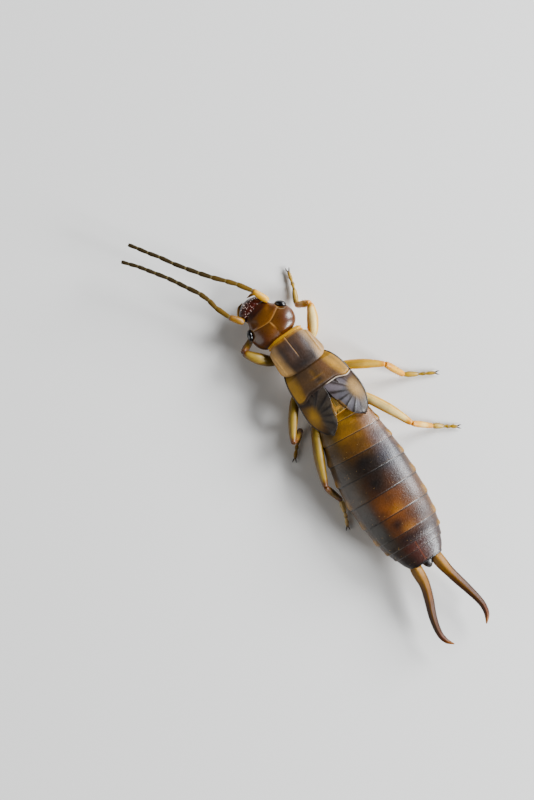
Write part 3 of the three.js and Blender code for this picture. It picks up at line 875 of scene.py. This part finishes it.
def abdomen_station(t):
    ring, share = ring_place(t)
    y, s = abdomen_at(ring, share)
    drift = belly_middle(s + LEAN_STEP) - belly_middle(s - LEAN_STEP)
    lean = math.atan2(drift, 2 * LEAN_STEP * (abdomen_rear - abdomen_front))
    flare = RING_LIP * (ease(share, 0.0, 0.8) - ease(share, 0.955, 1.0))
    top, bottom = belly_top(s), belly_bottom(s)
    level = bottom + (top - bottom) * WIDEST_LEVEL
    rear = ease(s, 0.93, 1.0) ** 2
    return {"at": Vector((belly_middle(s), y, level)), "up": UP, "square": 2.1,
            "side": Vector((math.cos(lean), -math.sin(lean), 0)),
            "half": (belly_half(s) + flare) * (1 - 0.12 * rear),
            "above": (top - level + flare) * (1 - 0.08 * rear),
            "below": (level - bottom) * (1 - 0.2 * rear)}


def side_gap(angle):
    """How far round the body a point is from the row of lobes along its left or right margin."""
    turned = angle if angle > -math.pi / 2 else angle + 2 * math.pi
    return min(abs(turned - LOBE_ANGLE), abs(turned - math.pi + LOBE_ANGLE))


def abdomen_relief(t, angle, point):
    ring, share = ring_place(t)
    lobe = bump(side_gap(angle), 0, 0.3) * ease(share, 0.45, 0.8) * (1 - ease(share, 0.86, 1.0))
    fold = bump(side_gap(angle), 0.28, 0.1)
    return (0.04 * lobe - 0.005 * fold) * (1 - ease(ring, 7, 9))


# Tones of each ring at its left, middle and right. The right-hand tones are the animal's own colours
# painted paler and blue-grey as a sheen of the lit right side
LEFT_TONES = tones_of("#906c2c #745c36 #6e563a #3c342c #544434 #3e342e #34302a #32281f #30221a #20140e")
MIDDLE_TONES = tones_of("#b08434 #9c6c18 #7c5014 #22150c #24140a #7c420c #78400f #1e0800 #4c1802 #3e1200")
RIGHT_TONES_AND_SHEEN = tones_of("#a88250 #b08a70 #76605a #35323a #40383a #5c3e2c #584238 #3a2c2a #382826 #362624")


def abdomen_colour(point, along, angle, across):
    ring, share = ring_place(along)
    aside = math.cos(angle)

    def tone(index):
        index = int(clamp(index, 0, RINGS - 1))
        # the right-hand side takes the tones with the painted sheen
        edge = LEFT_TONES[index] if aside > 0 else RIGHT_TONES_AND_SHEEN[index]
        return MIDDLE_TONES[index].lerp(edge, ease(abs(aside - 0.02), 0.12, 0.62))

    before = tone(ring - 1).lerp(tone(ring), 0.65)
    after = tone(ring).lerp(tone(ring + 1), 0.25)
    colour = before.lerp(after, ease(share, 0.0, 0.6))
    line = max(ease(share, 0.965, 0.985), 1 - ease(share, 0.015, 0.05))
    if math.sin(angle) < -0.25:
        return washed(colour, ("#94682a", 0.8), ("#3a2410", 0.6 * line))
    if ring in (3, 4):
        colour = washed(colour, ("#120803", bump(aside, 0.08, 0.42) * bump(share, 0.5, 0.62)))
    if ring in (6, 7):
        colour = washed(colour, ("#200a05", 0.9 * bump(aside, 0.16, 0.3) * bump(share, 0.5, 0.6)))
    if ring in (5, 6):
        colour = washed(colour, ("#a5660f", 0.8 * bump(aside, -0.08, 0.3) * ease(share, 0.45, 0.95)))
    if ring in (8, 9):
        colour = washed(colour, ("#8a3c14", 0.6 * bump(aside, 0.0, 0.03)))
    front_rings = 1 - ease(ring, 6.5, 8)
    lobe = bump(side_gap(angle), 0, 0.34) * ease(share, 0.45, 0.7) * (1 - ease(share, 0.88, 0.96))
    colour = washed(
        colour,
        ("#d79c24", 0.9 * lobe * front_rings),
        ("#7e5620", 0.4 * bump(side_gap(angle), 0.0, 0.5) * front_rings),
        ("#120a06", 0.8 * line),
        # painted highlight: a pale line before each ring's rear edge on the right side only, where the lip
        # catches the light
        ("#8a6a48", 0.35 * bump(share, 0.93, 0.03) * ease(-aside, 0.1, 0.6)),
    )
    if ring == RINGS - 1:
        colour = washed(colour, ("#0e0706", ease(share, 0.8, 0.95)))
    return colour


HAIR_ROOT = 0.009
HAIR_TIP = 0.002
RING_HAIRS = 150


def bristles(name, roots):
    """Short stiff hairs, each a thin closed cone from a root along its own direction."""
    hairs = []
    for root, ahead, long in roots:
        hair = bmesh.new()
        bmesh.ops.create_cone(hair, cap_ends=True, segments=4, radius1=HAIR_ROOT, radius2=HAIR_TIP,
                              depth=long)
        turn = ahead.to_track_quat("Z", "Y").to_matrix().to_4x4()
        middle = root + ahead * (long * 0.42)
        bmesh.ops.transform(hair, matrix=Matrix.Translation(middle) @ turn, verts=hair.verts)
        paint(hair, lambda *_: srgb("#c9a878"))
        hairs.append(hair)
    piece(name, join(hairs), HAIR)


def bristle_roots(bm, count, wanted, lean, shortest, longest):
    """Points of a skin that are wanted, drawn by chance, each with a direction that leans off the skin."""
    bmesh.ops.recalc_face_normals(bm, faces=bm.faces)
    bm.normal_update()
    along = bm.verts.layers.float["along"]
    around = bm.verts.layers.float["around"]
    places = [v for v in bm.verts if wanted(v[along], v[around])]
    roots = []
    for vertex in dice.sample(places, count):
        ahead = (vertex.normal + lean).normalized()
        roots.append((vertex.co.copy(), ahead, shortest + (longest - shortest) * dice.random()))
    return roots


def on_ring_rear(t, angle):
    ring, share = ring_place(t)
    return 0.55 < share < 0.9 and ring > 1 and (angle > -0.15 or angle < -3.0)


abdomen = skin(220, RINGS * RING_ROWS + 2, abdomen_station, abdomen_relief)
paint(abdomen, abdomen_colour)
ring_hairs = bristle_roots(abdomen, RING_HAIRS, on_ring_rear, Vector((0, 1.1, 0)), 0.04, 0.08)
bristles("abdomen_bristles", ring_hairs)
piece("abdomen_rings", abdomen, BELLY, [f"abdomen_{i}" for i in range(1, RINGS + 1)])

# Tail plate and forceps

tail_lean = math.atan2(0.05, 1.1)
TAIL = Vector((belly_middle(1), abdomen_rear, 0))
TAIL.z = belly_bottom(1) + (belly_top(1) - belly_bottom(1)) * WIDEST_LEVEL
tail_side = Vector((math.cos(tail_lean), -math.sin(tail_lean), 0))
tail_back = Vector((math.sin(tail_lean), math.cos(tail_lean), 0))


def behind_tail(back, aside, up):
    return TAIL + tail_back * back + tail_side * aside + UP * up


tail_line = [behind_tail(-0.2, 0, 0.14), behind_tail(0.05, 0, 0.1), behind_tail(0.26, 0, 0.02)]
tail_plate = limb(tail_line, run([0.24, 0.22, 0.17, 0.1]), 36, 30, flat=0.6, blunt=3)
paint(tail_plate, lambda p, t, *_: srgb("#140a07").lerp(srgb("#3a2416"), ease(t, 0.8, 1)))
piece("tail_plate", tail_plate, BELLY, ["pygidium"])

forceps_lines = {
    "left": [(0.96, 5.52), (1.01, 5.75), (1.03, 6.0), (1.06, 6.3), (1.14, 6.6), (1.27, 6.95),
             (1.42, 7.3), (1.55, 7.65), (1.64, 8.0), (1.67, 8.3), (1.61, 8.58), (1.44, 8.83)],
    "right": [(0.18, 5.54), (0.13, 5.76), (0.11, 6.0), (0.08, 6.3), (0.03, 6.6), (-0.04, 6.95),
              (-0.12, 7.3), (-0.19, 7.65), (-0.25, 8.0), (-0.26, 8.3), (-0.18, 8.62), (0.03, 8.9)],
}
forceps_thick = run([0.25, 0.25, 0.23, 0.2, 0.19, 0.18, 0.165, 0.15, 0.135, 0.12, 0.1, 0.04])
forceps_up = run([-0.08, -0.02, 0.0, -0.02, -0.04, -0.08, -0.1, -0.1, -0.08])


def forceps_relief(t, angle, point):
    s = length_share(t)
    keel = 0.014 * bump(angle, math.pi / 2, 0.3)
    grooves = -0.01 * (bump(angle, math.pi / 2 + 0.6, 0.3) + bump(angle, math.pi / 2 - 0.6, 0.3))
    return (keel + grooves) * (1 - ease(s, 0.8, 0.97))


forceps_top = ramp((0.0, "#c09460"), (0.18, "#b88a58"), (0.34, "#88582a"), (0.5, "#663c1c"),
                   (0.75, "#5c3416"), (0.9, "#7e441a"), (1.0, "#b8783c"))


def forceps_colour(point, along, angle, across):
    s = length_share(along)
    keel = bump(angle, math.pi / 2 - 0.1, 0.25)
    flank = ease(abs(math.cos(angle)), 0.6, 0.9)
    return washed(
        forceps_top(s),
        ("#b8966a", 0.5 * keel * (1 - ease(s, 0.5, 0.85))),
        ("#2a1408", 0.8 * flank * ease(s, 0.05, 0.25) * (1 - ease(s, 0.85, 0.97))),
    )


for side, line in forceps_lines.items():
    points = [(x, y, TAIL.z + forceps_up(i / (len(line) - 1))) for i, (x, y) in enumerate(line)]
    arm = limb(points, forceps_thick, 56, 160, relief=forceps_relief)
    paint(arm, forceps_colour)
    piece("forceps_arm_" + side, arm, TONGS, ["forceps_" + side])

# Legs

LEGS = {
    "front_left": [(0.42, -3.42, 0.62), (0.86, -3.5, 0.6), (1.66, -4.5, 0.98), (1.1, -4.76, 0.24),
                   (0.84, -5.06, 0.14), (0.6, -5.42, 0.1)],
    "front_right": [(-0.34, -3.42, 0.62), (-0.78, -3.5, 0.6), (-1.42, -4.6, 0.98), (-0.98, -4.84, 0.24),
                    (-1.26, -5.41, 0.14), (-1.46, -6.06, 0.1)],
    "middle_left": [(0.42, -2.2, 0.62), (0.9, -2.2, 0.58), (2.06, -0.72, 0.98), (1.56, -0.93, 0.24),
                    (1.93, -0.6, 0.14), (2.36, -0.16, 0.1)],
    "middle_right": [(-0.42, -2.2, 0.62), (-0.9, -2.15, 0.58), (-2.41, -1.15, 1.0), (-2.76, -0.44, 0.24),
                     (-3.26, -0.11, 0.14), (-3.8, 0.21, 0.1)],
    "hind_left": [(0.42, -1.2, 0.6), (0.92, -0.95, 0.56), (2.02, 1.32, 0.98), (1.82, 2.06, 0.24),
                  (1.98, 2.56, 0.14), (2.2, 3.04, 0.1)],
    "hind_right": [(-0.42, -1.2, 0.6), (-0.92, -0.95, 0.56), (-1.96, 1.22, 1.0), (-2.54, 1.74, 0.24),
                   (-2.86, 1.98, 0.14), (-3.32, 2.32, 0.1)],
}
THIGH = {"front": 0.215, "middle": 0.185, "hind": 0.2}
SHIN = {"front": 0.135, "middle": 0.135, "hind": 0.12}
foot_thick = run([0.08, 0.105, 0.11, 0.1, 0.08, 0.05, 0.072, 0.052, 0.07, 0.066, 0.05])
DARK_TIP = srgb("#3a2612")
# Tones of the legs on each side: the right legs are painted bright as lit and the left legs darker and
# duller as painted shade; the pale tone is the legs' own pale amber brightened into a painted highlight
LEG_TONES_LIT_AND_SHADED = {
    "right": {"pale": "#fbe2a8", "edge": "#d09636", "knee": "#d2903c", "foot": "#a0823c"},
    "left": {"pale": "#96804e", "edge": "#64461e", "knee": "#5e340e", "foot": "#8c6c30"},
}

# Where one leg differs from the others of its side: the pale foot of the hind left leg is a painted
# highlight, the middle right thigh a warmer amber
OWN_TONES_AND_HIGHLIGHT = {"hind_left": {"foot": "#c4ae84"}, "middle_right": {"pale": "#e6c07c"}}

FOOT_JOINTS = (0.46, 0.64)
SHIN_HAIRS = 22
FOOT_HAIRS = 30


def leg_colour(part, leg, side):
    tones = {key: srgb(tone) for key, tone in {**LEG_TONES_LIT_AND_SHADED[side], **OWN_TONES_AND_HIGHLIGHT.get(leg, {})}.items()}

    def colour(point, along, angle, across):
        s = length_share(along)
        rim = ease(abs(math.cos(angle)), 0.45, 0.85)
        if part == "coxa":
            return tones["edge"]
        if part == "femur":
            # The pale top of the thigh is partly its own pale amber, partly a painted highlight
            tone = tones["pale"].lerp(tones["edge"], 0.75 * rim)
            tone = tone.lerp(tones["edge"], 0.35 * bump(angle, math.pi / 2 + 0.35, 0.2))
            return tone.lerp(tones["knee"], ease(s, 0.86, 0.97))
        if part == "tibia":
            # The pale middle of the shin is a painted highlight
            tone = tones["knee"].lerp(tones["pale"], 0.7 * bump(s, 0.5, 0.45) * (1 - 0.6 * rim))
            return tone.lerp(tones["knee"], 0.6 * ease(s, 0.85, 1))
        tone = tones["foot"].lerp(tones["pale"], 0.28 * (1 - rim) * (1 - ease(s, 0.4, 0.5)))
        for joint in FOOT_JOINTS:
            tone = tone.lerp(DARK_TIP, 0.7 * bump(s, joint, 0.05))
        return tone.lerp(DARK_TIP, 0.8 * ease(s, 0.88, 1))
    return colour


def off_the_ends(t, angle):
    return 0.12 < t < 0.88


for name, stops in LEGS.items():
    hip, top, knee, ankle, arch, toe = [Vector(p) for p in stops]
    pair, side = name.split("_")
    outward = Vector((math.copysign(0.06, knee.x), 0, 0.08))
    thigh_thick = girth(THIGH[pair], 0.6, 0.92, 1, 0.98, 0.8, 0.62)
    shin_thick = girth(SHIN[pair], 0.85, 1, 1, 0.9, 0.85)
    coxa = limb([hip, hip.lerp(top, 0.5), top], run([0.22, 0.24, 0.2]), 24, 20, blunt=4)
    thigh = limb([top, top.lerp(knee, 0.55) + outward, knee], thigh_thick, 32, 60, blunt=7)
    shin = limb([knee, knee.lerp(ankle, 0.5), ankle], shin_thick, 24, 44, blunt=8)
    foot = limb([ankle, arch, toe], foot_thick, 20, 70, blunt=7)
    ahead = (toe - arch).normalized()
    aside = ahead.cross(UP).normalized()
    claws = []
    for sign in (1, -1):
        claw_line = [toe - ahead * 0.04 + aside * (0.02 * sign), toe + ahead * 0.07 + aside * (0.06 * sign),
                     toe + ahead * 0.13 + aside * (0.07 * sign) - UP * 0.05]
        claw = limb(claw_line, run([0.026, 0.024, 0.008]), 10, 14)
        paint(claw, lambda *_: DARK_TIP)
        claws.append(claw)
    bare_shin, bare_foot = shin.copy(), foot.copy()
    for part, bm in (("coxa", coxa), ("femur", thigh), ("tibia", shin), ("tarsus", foot)):
        paint(bm, leg_colour(part, name, side))
        piece(f"{part}_skin_{name}", bm, AMBER, [f"{part}_{name}"])
    piece("claws_" + name, join(claws), MOUTH)
    lean = (ankle - knee).normalized() * 0.8
    hairs = bristle_roots(bare_shin, SHIN_HAIRS, off_the_ends, lean, 0.05, 0.1)
    hairs += bristle_roots(bare_foot, FOOT_HAIRS, off_the_ends, ahead * 0.8, 0.04, 0.08)
    bristles("leg_bristles_" + name, hairs)
    bare_shin.free()
    bare_foot.free()

# Floor, light and camera

def floor():
    bm = bmesh.new()
    bmesh.ops.create_grid(bm, x_segments=1, y_segments=1, size=0.4)
    mesh = bpy.data.meshes.new("floor")
    bm.to_mesh(mesh)
    bm.free()
    material = bpy.data.materials.new("pale_floor")
    material.use_nodes = True
    shader = material.node_tree.nodes["Principled BSDF"]
    shader.inputs["Base Color"].default_value = (0.8, 0.785, 0.76, 1)
    shader.inputs["Roughness"].default_value = 0.9
    mesh.materials.append(material)
    obj = add_object("floor", mesh)


floor()


def lamp(name, place, size, watts, colour):
    """A soft square light at a place in millimetres, turned to the middle of the animal."""
    data = bpy.data.lights.new(name, "AREA")
    data.size = size * MM
    data.energy = watts
    data.color = colour
    turn = (-Vector(place)).to_track_quat("-Z", "Y").to_matrix().to_4x4()
    add_object(name, data).matrix_world = Matrix.Translation(Vector(place) * MM) @ turn


COOL = (0.94, 0.97, 1.0)
WARM = (1.0, 0.97, 0.93)
lamp("right_window", place=(-140, -4, 68), size=70, watts=0.56, colour=COOL)
lamp("rear_window", place=(-84, 118, 66), size=60, watts=0.62, colour=COOL)
lamp("left_window", place=(140, -20, 70), size=120, watts=0.09, colour=WARM)

world = bpy.data.worlds.new("soft_room")
bpy.context.scene.world = world
world.use_nodes = True
sky = world.node_tree.nodes["Background"]
sky.inputs["Color"].default_value = (0.9, 0.95, 1.0, 1)
sky.inputs["Strength"].default_value = 0.09

PIXELS_PER_MM = 27
FRAME_HEIGHT = 800
SENSOR = 36
CAMERA_AWAY = 150
CAMERA_AIM = Vector((1.944, -2.567, 1.0))
CAMERA_RIGHT = Vector((-0.8192, 0.5736, 0)).normalized()
camera_data = bpy.data.cameras.new("camera")
camera_data.sensor_width = SENSOR
camera_data.lens = SENSOR * CAMERA_AWAY * PIXELS_PER_MM / FRAME_HEIGHT
camera_data.clip_start = 0.01
camera_data.clip_end = 10
camera = add_object("camera", camera_data)
turn = Matrix((CAMERA_RIGHT, UP.cross(CAMERA_RIGHT), UP)).transposed().to_4x4()
camera.matrix_world = Matrix.Translation((CAMERA_AIM + SHIFT + UP * CAMERA_AWAY) * MM) @ turn
bpy.context.scene.camera = camera
